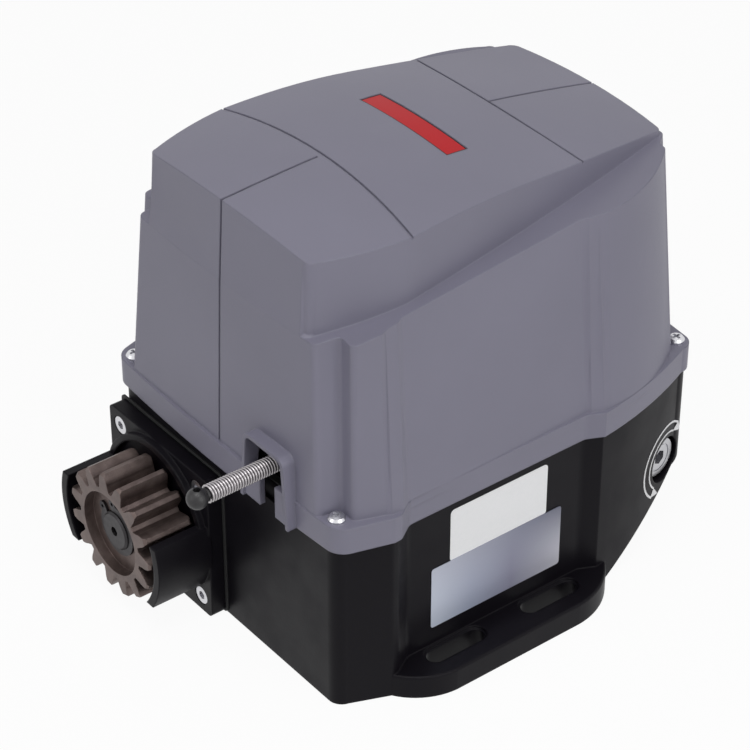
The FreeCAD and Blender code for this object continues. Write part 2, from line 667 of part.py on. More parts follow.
def stator_winding():
    """The two end coils with the copper that fills the slots between them."""
    axis = V(motor_x, motor_y, 0)
    parts = []
    for z0, z1 in ((stator_low - 10.5, stator_low), (stator_low + stator_h, stator_low + stator_h + 10.5)):
        near = z1 if z0 < stator_low else z0
        far = z0 if z0 < stator_low else z1
        parts.append(spun([(stator_in + 1.8, near), (stator_in + 1.8, far), (stator_in + 3.5, far),
                           (stator_in + 9.4, far), (stator_in + 9.8, near)], axis, Z))
    for i in range(24):
        a = math.radians(15 * i + 7.5)
        outward = V(math.cos(a), math.sin(a), 0)
        side = V(-math.sin(a), math.cos(a), 0)
        root = axis + Z * (stator_low - 0.5) + outward * (stator_in + 1.9)
        points = [root - side * 1.3, root + outward * 7.6 - side * 2.0, root + outward * 7.6 + side * 2.0,
                  root + side * 1.3]
        parts.append(prism(points, Z * (stator_h + 1)))
    return parts[0].multiFuse(parts[1:])


def rotor_core():
    axis = V(motor_x, motor_y, stator_low)
    profile = [(bell_brg[0] + running, 1), (stator_in - 6, 1), (stator_in - 6, -4), (stator_in - 2, -4), (stator_in - 0.4, 1),
               (stator_in - 0.4, stator_h - 1), (stator_in - 2, stator_h + 4), (stator_in - 6, stator_h + 4),
               (stator_in - 6, stator_h - 1), (bell_brg[0] + running, stator_h - 1)]
    return spun(profile, axis, Z)


def motor_upper_bell():
    axis = V(motor_x, motor_y, stator_low + stator_h)
    outer = spun([(0, 0), (bell_r - 0.2, 0), (bell_r - 0.2, 10), (bell_r - 6, 16), (0, 16)], axis, Z)
    hollow = spun([(0, -1), (bell_r - bell_wall, -1), (bell_r - bell_wall, 9), (bell_r - 8, 12.8), (0, 12.8)], axis, Z)
    hub = rod(top_brg[1] + 3, axis + Z * (16 - top_brg[2] - 2), Z, top_brg[2] + 2)
    body = outer.cut(hollow).fuse(hub)
    lugs = [rod(motor_bolt_r + 2.2, V(p.x, p.y, axis.z), Z, 12) for p in motor_bolt_places()]
    body = body.multiFuse(lugs)
    cuts = [rod(top_brg[1], axis + Z * 3, Z, 13 - 3 - 1 + 2)]
    cuts += [rod(motor_bolt_r + fit, V(p.x, p.y, axis.z - 1), Z, 30) for p in motor_bolt_places()]
    cuts += [rod(motor_bolt_r + 2.4, V(p.x, p.y, axis.z + 12), Z, 30) for p in motor_bolt_places()]
    for i in range(8):
        a = math.radians(45 * i)
        spot = axis + V(28 * math.cos(a), 28 * math.sin(a), 11)
        cuts.append(rod(3.2, spot, Z, 6))
    return body.cut(cuts[0].multiFuse(cuts[1:]))


def motor_bolts():
    top = stator_low + stator_h + 12
    return [socket_screw(V(p.x, p.y, top), Z * -1, motor_bolt_r + 1.8, 4.0, motor_bolt_r, top - block_h + 12, 4.0)
            for p in motor_bolt_places()]


# ---- release ----
crank_at, crank_t, crank_r, crank_pin_r = 84.0, 4.0, 9.0, 2.5
crank_reach = 97.5
start_angle = math.radians(15)
oring_at, oring_r = 13.5, 0.8
yoke_t = 4.0


def release_spindle():
    inward = release_dir * -1
    face = release_at + inward * disc_sunk
    body = rod(disc_r, face, inward, release_pit - disc_sunk - gap)
    body = body.fuse(rod(spindle_r, face, inward, crank_at - disc_sunk + 1))
    body = body.fuse(rod(crank_r, release_at + inward * crank_at, inward, crank_t))
    rearward = V(-release_dir.y, release_dir.x, 0)
    offset = rearward * (-throw * math.cos(start_angle)) - Z * (throw * math.sin(start_angle))
    pin_start = release_at + inward * (crank_at + crank_t - 1) + offset
    body = body.fuse(rod(crank_pin_r, pin_start, inward, crank_reach - crank_at - crank_t + 1))
    body = body.cut(hexagon(hex_af, face, inward, 7.0))
    ring_start = release_at + inward * (oring_at - oring_r - 0.4)
    body = body.cut(tube(disc_r - 2.6, disc_r - 3.4, face, inward, 0.6))
    return body.cut(tube(spindle_r + 1, spindle_r - 2 * oring_r - 0.05, ring_start, inward, 2 * oring_r + 0.8))


def release_oring():
    centre = release_at - release_dir * oring_at
    return Part.makeTorus(spindle_r - oring_r, oring_r, centre, release_dir)


def release_rod():
    """Push rod with the fork for the collar at one end and the yoke of the crank pin at the other."""
    reach = (release_at.x - rod_x) / release_dir.x
    crank_y = release_at.y - reach * release_dir.y
    pin_y = crank_y - throw * math.cos(start_angle) * release_dir.x
    z = release_at.z
    fork_t = 4.4
    start = V(rod_x, fork_y - fork_t / 2 - 1.5, z)
    body = rod(rod_r, start, Y, pin_y - 5.5 - start.y)
    ring = tube(24.5, collar_groove_r + gap, V(pinion_x, fork_y - fork_t / 2, pinion_z), Y, fork_t)
    half = box(pinion_x - 1, rod_x + 10, fork_y - fork_t, fork_y + fork_t, 0, block_h)
    arm = box(pinion_x + 22, rod_x, fork_y - fork_t / 2, fork_y + fork_t / 2, pinion_z - 4, z + rod_r)
    yoke = box(rod_x - yoke_t / 2, rod_x + yoke_t / 2, pin_y - 6.5, pin_y + 6.5, z - 9, z + 9)
    window = box(rod_x - yoke_t, rod_x + yoke_t, pin_y - 3.75, pin_y + 3.75, z - 6.2, z + 6.2)
    return body.multiFuse([ring.common(half), arm, yoke]).cut(window)


# ---- limit switch ----
tray_t = 3.0
hub_low, hub_high = 109.0, 125.0
switch_in, switch_out = 7.2, 13.6
switch_y0, switch_y1 = 8.0, 28.0
plunger_y, plunger_z, plunger_r = 23.0, 114.6, 1.3
plunger_tip = 5.85
nose_y = 7.5


def limit_base():
    plate = box(arm_x - limit_post - 5.5, arm_x + limit_post + 5.5, 7.0, switch_y1 + 1.5, limit_floor,
                limit_floor + tray_t)
    plate = plate.fuse(rod(5.0, V(arm_x, pivot_y, limit_floor), Z, hub_low - gap - limit_floor))
    cuts = [rod(bell_r + 1.5, V(motor_x, motor_y, 0), Z, 150), rod(pin_r + 0.02, V(arm_x, pivot_y, 0), Z, 150)]
    cuts += [rod(1.7, p, Z, 150) for p in limit_posts]
    fence = [box(arm_x + s * (switch_out + 0.8) - 0.6, arm_x + s * (switch_out + 0.8) + 0.6, switch_y0 + 10.5,
                 switch_y1 - 0.5, limit_floor, limit_floor + tray_t + 4) for s in (-1, 1)]
    return plate.multiFuse(fence).cut(cuts[0].multiFuse(cuts[1:]))


pin_r = 2.0


def limit_lever():
    hub = rod(6.0, V(arm_x, pivot_y, hub_low), Z, hub_high - hub_low)
    tail = box(arm_x - 2, arm_x + 2, pivot_y, pivot_y + 11, arm_z - 4, arm_z + 4)
    neck = rod(4.4, V(arm_x, nose_y + 0.1, arm_z), Y, pivot_y - nose_y)
    nose = rod(spring_r - wire_d - running, V(arm_x, nose_y - 9, arm_z), Y, 12)
    return hub.multiFuse([tail, neck, nose]).cut(rod(pin_r + running, V(arm_x, pivot_y, 100), Z, 40))


def limit_pivot_pin():
    start = V(arm_x, pivot_y, limit_floor + 0.2)
    head = rod(3.6, V(arm_x, pivot_y, hub_high + gap), Z, 1.6)
    return rod(pin_r, start, Z, hub_high + gap + 1 - start.z).fuse(head)


spring_end = ball_y + ball_r - 0.95


def limit_spring():
    """The close-wound arm spring as a sleeve."""
    return tube(spring_r, spring_r - wire_d, V(arm_x, spring_end, arm_z), Y, nose_y - spring_end)


def spring_tip():
    ball = Part.makeSphere(ball_r, V(arm_x, ball_y, arm_z))
    spigot = rod(spring_r - wire_d - running, V(arm_x, ball_y + 2, arm_z), Y, 13)
    return ball.fuse(spigot).cut(rod(1.75, V(arm_x, ball_y, arm_z - 10), Z, 20))


def microswitches():
    bodies = []
    floor = limit_floor + tray_t
    for s in (-1, 1):
        near, far = arm_x + s * switch_in, arm_x + s * switch_out
        body = box(min(near, far), max(near, far), switch_y0, switch_y1, floor, floor + 10.2)
        body = body.cut(rod(plunger_r + running, V(near - s, plunger_y, plunger_z), X * s, 4.8))
        middle = (near + far) / 2
        for y in (switch_y0 + 2.5, switch_y0 + 8, switch_y0 + 16.5):
            body = body.fuse(box(middle - 0.4, middle + 0.4, y - 1.5, y + 1.5, floor + 9, floor + 15.5))
        bodies.append(body)
    return bodies


def plunger(s):
    return rod(plunger_r, V(arm_x + s * plunger_tip, plunger_y, plunger_z), X * s, switch_in + 2.3 - plunger_tip)


def pan_screw(seat, direction, head_r, head_h, shank_r, length):
    """A screw with a domed head: seat is the middle of the head's underside."""
    profile = [(0, -length), (shank_r, -length), (shank_r, 0), (head_r, 0), (head_r, head_h * 0.45),
               (head_r * 0.8, head_h * 0.86), (head_r * 0.45, head_h), (0, head_h)]
    screw = spun(profile, seat, direction)
    width, depth = head_r * 0.32, head_h * 0.6
    top = seat + direction * (head_h - depth)
    side = X if abs(direction.z) > 0.5 else Z
    other = direction.cross(side)
    cross = []
    for a, b in ((side, other), (other, side)):
        corner = top - a * (head_r * 0.55) - b * (width / 2)
        points = [corner, corner + a * (head_r * 1.1), corner + a * (head_r * 1.1) + b * width, corner + b * width]
        cross.append(prism(points, direction * (depth + 1)))
    return screw.cut(cross[0].fuse(cross[1]))


def limit_screws():
    return [pan_screw(V(p.x, p.y, limit_floor + tray_t), Z, 2.8, 2.0, 1.5, 10.0) for p in limit_posts]


# ---- electronics ----
plate_rear = shelf_y0 + sheet_t
board_y = plate_rear + standoff
board_fix = [(sx * (board_w / 2 - 5), board_z + dz) for sx in (-1, 1) for dz in (5, board_h - 5)]
shelf_top = shelf_z + sheet_t


def board_bracket():
    shelf = box(-shelf_half, shelf_half, shelf_y0, shelf_y1, shelf_z, shelf_top)
    back = box(-55, 55, shelf_y0, plate_rear, shelf_z, board_z + board_h + 2)
    stands = [rod(3.2, V(x, plate_rear - 0.5, z), Y, standoff + 0.5) for x, z in board_fix]
    body = shelf.multiFuse([back] + stands)
    cuts = [rod(1.7, V(p.x, p.y, shelf_z - 1), Z, 4) for p in shelf_posts]
    cuts += [rod(1.3, V(x, shelf_y0 + 1.9, z), Y, 20) for x, z in board_fix]
    return body.cut(cuts[0].multiFuse(cuts[1:]))


def control_board():
    sheet = box(-board_w / 2, board_w / 2, board_y, board_y + board_t, board_z, board_z + board_h)
    cuts = [rod(1.6, V(x, board_y - 1, z), Y, 5) for x, z in board_fix]
    return sheet.cut(cuts[0].multiFuse(cuts[1:]))


board_face = board_y + board_t


def board_screws():
    screws = [pan_screw(V(p.x, p.y, shelf_top), Z, 2.8, 2.0, 1.5, 12.0) for p in shelf_posts]
    screws += [pan_screw(V(x, board_face, z), Y, 2.6, 1.8, 1.2, 6.0) for x, z in board_fix]
    return screws


def terminal_blocks():
    blocks = []
    pitch, count, depth, height = 5.08, 5, 10.0, 11.0
    for x in (-28.0, 0.0, 28.0):
        half = pitch * count / 2
        z0 = board_z + 1.5
        block = box(x - half, x + half, board_face, board_face + depth, z0, z0 + height)
        slope = [V(x - half - 1, board_face + depth + 1, z0 + height + 1), V(x - half - 1, board_face + depth + 1,
                 z0 + height - 4), V(x - half - 1, board_face + depth - 4, z0 + height + 1)]
        block = block.cut(prism(slope, X * (2 * half + 2)))
        cuts = []
        for i in range(count):
            at = x - half + pitch * (i + 0.5)
            cuts.append(rod(1.7, V(at, board_face + depth - 5, z0 + height - 3), Z, 6))
            cuts.append(box(at - 1.7, at + 1.7, board_face + depth - 5, board_face + depth + 1, z0 + 1.2, z0 + 5))
        blocks.append(block.cut(cuts[0].multiFuse(cuts[1:])))
    return blocks


def relays():
    bodies = []
    for x in (-38.0, -17.0, 4.0):
        body = box(x - 9.5, x + 9.5, board_face, board_face + 15, board_z + 44, board_z + 59.5)
        edges = [e for e in body.Edges if e.BoundBox.YMin > board_face + 14]
        bodies.append(body.makeFillet(0.8, edges))
    return bodies


def fuse_holder():
    z = board_z + 52
    foot_block = box(20, 44, board_face, board_face + 3, z - 4.5, z + 4.5)
    clips = [box(x, x + 5, board_face + 2, board_face + 11, z - 4, z + 4) for x in (21.5, 37.5)]
    glass = rod(2.6, V(22.5, board_face + 6.5, z), X, 19)
    return foot_block.multiFuse(clips + [glass])


core_x0, core_x1, core_y0, core_y1, core_z1 = -46.5, -4.5, 166.0, 192.0, 141.0


def transformer_core():
    """Laminated core on two folded feet, with the window for the coil."""
    body = box(core_x0, core_x1, core_y0, core_y1, shelf_top, core_z1)
    leg = (core_x1 - core_x0) / 6
    middle = (core_x0 + core_x1) / 2
    for side in (-1, 1):
        x0 = middle + side * leg
        x1 = middle + side * 2 * leg
        body = body.cut(box(min(x0, x1), max(x0, x1), core_y0 - 1, core_y1 + 1, shelf_top + leg, core_z1 - leg))
    return body


def transformer_coil():
    leg = (core_x1 - core_x0) / 6
    middle = (core_x0 + core_x1) / 2
    z0, z1 = shelf_top + leg + gap, core_z1 - leg - gap
    outer = box(middle - 2 * leg + gap, middle + 2 * leg - gap, core_y0 - leg + 1, core_y1 + leg - 1, z0, z1)
    edges = [e for e in outer.Edges if abs(e.Vertexes[0].Z - e.Vertexes[-1].Z) > 1]
    outer = outer.makeFillet(3.0, edges)
    return outer.cut(box(middle - leg - gap / 2, middle + leg + gap / 2, core_y0 - gap, core_y1 + gap, z0 - 1, z1 + 1))


cap_r, cap_l, strap_t = 17.0, 56.0, 1.2
cap_at = V(2.0, 178.0, shelf_top + strap_t + cap_r + 0.15)


def run_capacitor():
    can = spun([(0, 0), (cap_r - 1, 0), (cap_r, 1), (cap_r, cap_l - 2), (cap_r - 1.5, cap_l), (cap_r - 3, cap_l),
                (cap_r - 3, cap_l - 1), (0, cap_l - 1)], cap_at, X)
    tabs = [box(cap_at.x + cap_l - 2, cap_at.x + cap_l + 7, cap_at.y + dy - 3, cap_at.y + dy + 3,
                cap_at.z - 0.4, cap_at.z + 0.4) for dy in (-6, 6)]
    return can.multiFuse(tabs)


def capacitor_clamp():
    inner = cap_r + 0.15
    start = V(cap_at.x + 20, cap_at.y, cap_at.z)
    strap = tube(inner + strap_t, inner, start, X, 14)
    feet = box(start.x, start.x + 14, cap_at.y - inner - 4.0, cap_at.y + inner + 4.0, shelf_top, shelf_top + strap_t)
    return strap.fuse(feet).cut(rod(inner, start - X, X, 16))


def cable_grommet():
    profile = [(0, 1.5), (6, 1.5), (6.5, 0.2), (grommet_r - fit, 0.2), (grommet_r - fit, floor_t),
               (grommet_r + 2.5, floor_t + 0.02), (grommet_r + 2.0, floor_t + 2), (6.5, floor_t + 2), (6, 3.0), (0, 3.0)]
    return spun(profile, grommet_at, Z)


# ---- cover ----
low_z, high_z = base_h + 15.0, base_h + 108.0
body_low = closed([(70.6, -1.6), (73.2, -0.6, "via"), (74.3, 2.0), (76.5, 10.0, 2.5), (86.0, 9.5, 3.0),
                   (91.1, 23.5, 3.0), (91.4, 26.0), (91.6, 32.5, 3.0), (89.2, 38.0, 4.0), (87.8, 145.5, 3.0),
                   (88.8, 147.5), (90.8, 153.5), (92.0, 157.5), (86.8, 188.0, "via"), (76.6, 209.0),
                   (75.2, 211.2, "via"), (72.8, 211.9), (64.5, 212.8, 2.5), (63.6, 219.0),
                   (62.6, 221.2, "via"), (60.4, 222.0)], -2.6, 225.5)
body_high = closed([(63.6, 3.0), (66.2, 4.1, "via"), (67.3, 6.8), (69.4, 15.4, 2.5), (79.9, 14.2, 3.0),
                    (80.8, 29.5, 3.0), (79.6, 32.0), (79.2, 38.7, 3.0), (77.6, 42.5, 4.0), (78.4, 145.0, 3.0),
                    (80.0, 148.4), (81.0, 153.6), (83.0, 158.2), (77.5, 189.0, "via"), (66.0, 208.2),
                    (64.4, 210.3, "via"), (62.2, 211.0), (58.5, 211.8, 2.5), (55.8, 216.0),
                    (54.4, 218.0, "via"), (52.0, 218.7)], 1.3, 222.2)
top_low_z, top_high_z = base_h + 103.0, base_h + 138.0
top_low = closed([(57.6, 4.1), (60.5, 5.3, "via"), (61.9, 8.2), (68.2, 28.0, "via"), (71.8, 50.0),
                  (65.2, 133.0, "via"), (56.2, 212.0), (55.0, 215.4, "via"), (51.8, 217.0)], 2.0, 221.0)
top_high = closed([(56.1, 5.9), (59.0, 7.1, "via"), (60.4, 10.0), (67.4, 33.0, "via"), (70.5, 54.0),
                   (63.6, 134.0, "via"), (51.9, 212.4), (50.7, 215.8, "via"), (47.5, 217.4)], 3.3, 220.6)
roof_line = [(-12.0, 140.9, 360.0), (3.0, 142.0, 360.0), (57.0, 144.7, 385.0), (110.0, 143.6, 370.0),
             (156.0, 138.0, 353.0), (221.0, 125.5, 1000.0), (240.0, 121.0, 1100.0)]   # y, height over base_h, radius
inner_z, over_z = base_h + 58.0, base_h + 168.0   # well inside the cover, well over its roof


def roof(drop):
    """Everything below the domed roof, lowered by drop."""
    sections = []
    half = 95.0
    for y, rise, radius in roof_line:
        z = base_h + rise - drop
        edge = z - (radius - math.sqrt(radius ** 2 - half ** 2))
        a, b, c = V(-half, y, edge), V(0, y, z), V(half, y, edge)
        floor_a, floor_c = V(-half, y, inner_z), V(half, y, inner_z)
        sections.append(Part.Wire([Part.Arc(a, b, c).toShape(), Part.makeLine(c, floor_c),
                                   Part.makeLine(floor_c, floor_a), Part.makeLine(floor_a, a)]))
    return Part.makeLoft(sections, True, False)


def ledge_cut(drop):
    """Everything above the sloping ledge, lowered by drop."""
    far = 300.0
    z0, z1 = ledge_z - drop - far * ledge_rise, ledge_z - drop + far * ledge_rise
    return prism([V(-far, -far, z0), V(-far, far, z1), V(-far, far, z1 + far), V(-far, -far, z0 + 2 * far)],
                 X * (2 * far))


def plain(outline):
    """The outline with its corners left sharp, as inside the cover."""
    return [(x, y, mark if mark == "via" else 0) for x, y, mark in outline]


def cover_form(inset):
    low, high = (body_low, body_high) if inset == 0 else (plain(body_low), plain(body_high))
    low = tapered(shrunk(low, inset), low_z, shrunk(high, inset), high_z, rim_top - flange_plate - 1,
                  base_h + 130.0)
    low = low.cut(ledge_cut(inset))
    top = tapered(shrunk(top_low, inset), top_low_z, shrunk(top_high, inset), top_high_z,
                  base_h + 94.0, base_h + 153.0)
    return low.fuse(top.common(roof(inset)))


def hood_profile(inset, z_low, y):
    """Outline of the hood in the plane y, corners as a rounded arch."""
    slant = (hood_half_low - hood_half_top) / (hood_top - base_h)
    top_z = hood_top - inset

    def half(z):
        return hood_half_low - inset - slant * (z - base_h)

    r = 4.0 - inset * 0.5
    k = r * 0.2929
    corner = half(top_z)
    points = [V(arm_x + half(z_low), y, z_low), V(arm_x + half(top_z - r), y, top_z - r),
              V(arm_x + corner - k, y, top_z - k), V(arm_x + corner - r, y, top_z),
              V(arm_x - corner + r, y, top_z), V(arm_x - corner + k, y, top_z - k),
              V(arm_x - half(top_z - r), y, top_z - r), V(arm_x - half(z_low), y, z_low)]
    edges = [Part.makeLine(points[0], points[1]), Part.Arc(points[1], points[2], points[3]).toShape(),
             Part.makeLine(points[3], points[4]), Part.Arc(points[4], points[5], points[6]).toShape(),
             Part.makeLine(points[6], points[7]), Part.makeLine(points[7], points[0])]
    return Part.Face(Part.Wire(edges))


def cross_groove(side_y, middle_y, half):
    """Upright curved strip over the roof, as wide as a groove."""
    sag = middle_y - side_y
    radius = (half ** 2 + sag ** 2) / (2 * sag)
    centre = V(0, middle_y - radius, inner_z)
    return tube(abs(radius) + groove_w / 2, abs(radius) - groove_w / 2, centre, Z, 120)


def grooves():
    low_roof = roof(groove_d)
    front = box(-groove_w / 2, groove_w / 2, -10, 56, inner_z, over_z)
    rear = box(-groove_w / 2, groove_w / 2, 156, 222, inner_z, over_z)
    badge = box(-badge_l / 2, badge_l / 2, badge_y - badge_w / 2, badge_y + badge_w / 2, high_z, over_z)
    top_strips = box(-90, 90, 40, 70, inner_z, over_z).common(cross_groove(54.0, 59.0, 70.5))
    rear_sag = 5.5
    radius = (60.4 ** 2 + rear_sag ** 2) / (2 * rear_sag)
    arc = tube(radius + groove_w / 2, radius - groove_w / 2, V(0, 155.2 + radius, inner_z), Z, 120)
    rear_strip = box(-90, 90, 150, 170, inner_z, over_z).common(arc)
    upper = front.multiFuse([rear, badge, top_strips, rear_strip]).cut(low_roof)
    face = [(-14.0, rim_top), (-2.6 + groove_d, rim_top), (1.3 + groove_d, high_z),
            (2.5 + groove_d, base_h + 144.0), (-14.0, base_h + 144.0)]
    face = [V(-groove_w / 2, y, z) for y, z in face]
    return upper.fuse(prism(face, X * groove_w))


def cover():
    outer = cover_form(0)
    skirt = slab(rim, base_h, rim_top)
    hood = hood_profile(0, base_h, hood_front).extrude(Y * (10 - hood_front))
    outer = outer.fuse(skirt).fuse(hood)
    hollow = cover_form(cover_wall)
    under = base_slab(spigot_in - gap, base_h - 1, rim_top - flange_plate)
    body = outer.cut(hollow).cut(under)
    mouth = hood_profile(hood_wall, base_h - 1, hood_front - 1).extrude(Y * (12 - hood_front))
    body = body.cut(mouth)
    tab_y0, tab_y1 = hood_front + 1.2, hood_front + 4.2
    tabs = [box(arm_x - hood_half_low + 0.5, arm_x - 4.5, tab_y0, tab_y1, base_h + 1, base_h + 16),
            box(arm_x + 7, arm_x + hood_half_low - 0.5, tab_y0, tab_y1, base_h + 1, base_h + 18)]
    body = body.multiFuse([tab.common(hood) for tab in tabs])
    cuts = [grooves()] + [rod(cover_screw_r + gap, p + Z * (base_h - 2), Z, 30) for p in cover_screw_places()]
    return body.cut(cuts[0].multiFuse(cuts[1:]))


def cover_gasket():
    z0 = base_h + spigot_h
    ring = base_slab(spigot_in + 0.2, z0, z0 + seal_t).cut(base_slab(base_wall + 1, z0 - 1, z0 + 2))
    bounds = base_slab(spigot_in + 0.2, z0, z0 + seal_t)
    pads = [rod(6.5, p + Z * z0, Z, seal_t).common(bounds) for p in cover_screw_places()]
    ring = ring.multiFuse(pads)
    holes = [rod(cover_screw_r + gap, p + Z * (z0 - 1), Z, 4) for p in cover_screw_places()]
    return ring.cut(holes[0].multiFuse(holes[1:]))


def cover_screws():
    return [pan_screw(V(p.x, p.y, rim_top), Z, cover_head_r, cover_head_h, cover_screw_r, 30.0)
            for p in cover_screw_places()]


# ---- write every node ----
put("base_housing", base_housing())
put("front_flange", front_flange())
put("flange_gasket", flange_gasket())
put("flange_screws", *flange_screws())
put("drive_pinion", drive_pinion())
put("pinion_key", pinion_key())
put("pinion_circlip", pinion_circlip())
put("output_shaft", output_shaft())
put("output_front_bearing", bearing(front_brg, V(pinion_x, -2, pinion_z), Y))
put("output_oil_seal", oil_seal())
put("output_rear_bearing", bearing(rear_brg, V(pinion_x, rear_brg_y, pinion_z), Y))
put("worm_wheel", worm_wheel())
put("clutch_collar", clutch_collar())
put("worm_shaft", worm_shaft())
put("worm_bearing", bearing(worm_brg, V(motor_x, motor_y, worm_floor), Z))
put("motor_lower_bell", motor_lower_bell())
put("motor_lower_bearing", bearing(bell_brg, V(motor_x, motor_y, bell_brg_z), Z))
put("stator_core", stator_core())
put("stator_winding", stator_winding())
put("rotor_core", rotor_core())
put("motor_upper_bell", motor_upper_bell())
put("motor_upper_bearing", bearing(top_brg, V(motor_x, motor_y, stator_low + stator_h + 3), Z))
put("motor_bolts", *motor_bolts())
put("release_spindle", release_spindle())
put("release_oring", release_oring())
put("release_rod", release_rod())
put("limit_base", limit_base())
put("limit_lever", limit_lever())
put("limit_pivot_pin", limit_pivot_pin())
put("limit_spring", limit_spring())
put("spring_tip", spring_tip())
put("microswitches", *microswitches())
put("plunger_left", plunger(-1))
put("plunger_right", plunger(1))
put("limit_screws", *limit_screws())
put("board_bracket", board_bracket())
put("control_board", control_board())
put("terminal_blocks", *terminal_blocks())
put("relays", *relays())
put("fuse_holder", fuse_holder())
put("transformer_core", transformer_core())
put("transformer_coil", transformer_coil())
put("run_capacitor", run_capacitor())
put("capacitor_clamp", capacitor_clamp())
put("board_screws", *board_screws())
put("cable_grommet", cable_grommet())
put("cover_gasket", cover_gasket())
put("cover_screws", *cover_screws())
put("cover", cover())
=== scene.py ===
"""Sliding gate motor: finishes, labels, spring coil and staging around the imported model."""
import json
import math
from contextlib import contextmanager

import bpy
from mathutils import Matrix, Vector


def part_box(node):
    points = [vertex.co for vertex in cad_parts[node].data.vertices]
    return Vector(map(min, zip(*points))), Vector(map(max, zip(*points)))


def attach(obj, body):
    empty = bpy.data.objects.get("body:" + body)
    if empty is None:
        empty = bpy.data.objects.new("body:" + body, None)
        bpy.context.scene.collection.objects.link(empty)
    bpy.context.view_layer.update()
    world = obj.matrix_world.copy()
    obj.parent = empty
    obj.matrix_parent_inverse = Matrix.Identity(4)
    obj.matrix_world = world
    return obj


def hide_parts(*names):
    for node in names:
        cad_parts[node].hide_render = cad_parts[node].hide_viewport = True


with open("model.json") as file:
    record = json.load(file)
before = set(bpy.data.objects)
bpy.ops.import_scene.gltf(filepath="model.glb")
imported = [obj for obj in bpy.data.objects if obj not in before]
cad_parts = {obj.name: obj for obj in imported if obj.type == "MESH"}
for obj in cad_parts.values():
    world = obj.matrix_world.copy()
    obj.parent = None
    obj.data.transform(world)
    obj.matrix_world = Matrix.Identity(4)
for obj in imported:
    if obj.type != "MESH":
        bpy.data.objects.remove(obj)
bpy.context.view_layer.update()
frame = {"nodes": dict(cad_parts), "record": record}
scene = bpy.context.scene
nodes = frame["nodes"]
MM = 0.001


# ---------------------------------------------------------------- shader trees
class Value:
    """A socket of a shader tree that takes part in plain arithmetic."""

    def __init__(self, tree, socket):
        self.tree = tree
        self.socket = socket

    def __sub__(self, other):
        return self.tree.math("SUBTRACT", self, other)

    def __rsub__(self, other):
        return self.tree.math("SUBTRACT", other, self)

    def __mul__(self, other):
        return self.tree.math("MULTIPLY", self, other)

    def __rmul__(self, other):
        return self.tree.math("MULTIPLY", other, self)

    def __lt__(self, other):
        return self.tree.math("LESS_THAN", self, other)

    def __abs__(self):
        return self.tree.math("ABSOLUTE", self)


class Tree:
    """The shader tree of a material or of the world, built node by node."""

    def __init__(self, owner):
        owner.use_nodes = True
        self.nodes = owner.node_tree.nodes
        self.links = owner.node_tree.links

    def join(self, value, socket):
        """Gives a socket its constant, or links it to another socket."""
        if isinstance(value, Value):
            value = value.socket
        if isinstance(value, bpy.types.NodeSocket):
            self.links.new(value, socket)
        else:
            socket.default_value = value

    def node(self, kind, settings=None, inputs=None):
        """Adds a node: its settings come first, then the values or links of its sockets."""
        made = self.nodes.new(kind)
        for key, setting in (settings or {}).items():
            if key == "stops":
                ramp = made.color_ramp
                while len(ramp.elements) < len(setting):
                    ramp.elements.new(0.5)
                for element, (at, color) in zip(ramp.elements, setting):
                    element.position = at
                    element.color = color
            else:
                setattr(made, key, setting)
        for key, value in (inputs or {}).items():
            self.join(value, made.inputs[key])
        return made

    def math(self, operation, *inputs):
        made = self.node("ShaderNodeMath", {"operation": operation}, dict(enumerate(inputs)))
        return Value(self, made.outputs[0])

    def limits(self, value, low, high, to_low=0.0, to_high=1.0):
        """Maps low to high onto to_low to to_high, and holds the ends."""
        made = self.node("ShaderNodeMapRange", {}, {"Value": value, "From Min": low, "From Max": high,
                                                    "To Min": to_low, "To Max": to_high})
        return Value(self, made.outputs["Result"])

    def plain_white_rays(self):
        """1 for the rays that are to meet white: seen straight on, mirrored or through glass."""
        rays = self.node("ShaderNodeLightPath").outputs
        seen = Value(self, rays["Is Camera Ray"])
        for kind in ("Is Glossy Ray", "Is Transmission Ray"):
            seen = self.math("MAXIMUM", seen, Value(self, rays[kind]))
        return seen


class Finish(Tree):
    """One material, with its surface shader and the object's own coordinates at hand."""

    def __init__(self, name):
        self.material = bpy.data.materials.new(name)
        super().__init__(self.material)
        self.surface = self.nodes["Principled BSDF"]
        self.place = self.node("ShaderNodeTexCoord").outputs["Object"]

    def axes(self):
        split = self.node("ShaderNodeSeparateXYZ", {}, {"Vector": self.place})
        return [Value(self, split.outputs[axis]) for axis in "XYZ"]

    def stretched(self, x, y, z):
        return self.node("ShaderNodeMapping", {}, {"Vector": self.place, "Scale": (x, y, z)}).outputs[0]

    def noise(self, scale, detail=2.0, roughness=0.5, place=None):
        made = self.node("ShaderNodeTexNoise", {}, {"Vector": place or self.place, "Scale": scale,
                                                    "Detail": detail, "Roughness": roughness})
        return Value(self, made.outputs["Fac"])

    def blend(self, factor, first, second):
        made = self.node("ShaderNodeMix", {"data_type": "RGBA"}, {0: factor, 6: first, 7: second})
        return made.outputs[2]

    def ramp(self, value, stops):
        return self.node("ShaderNodeValToRGB", {"stops": stops}, {"Fac": value}).outputs["Color"]

    def bump(self, height, distance, strength=1.0, under=None):
        inputs = {"Height": height, "Distance": distance, "Strength": strength}
        if under is not None:
            inputs["Normal"] = under
        return self.node("ShaderNodeBump", {}, inputs).outputs["Normal"]

    def softened(self, radius):
        """The normal with the edges eased over, as moulded and cast edges are."""
        return self.node("ShaderNodeBevel", {"samples": 6}, {"Radius": radius}).outputs["Normal"]

    def complete(self, **inputs):
        """Sets the surface shader's sockets and hands the material over."""
        for key, value in inputs.items():
            self.join(value, self.surface.inputs[key.replace("_", " ")])
        return self.material


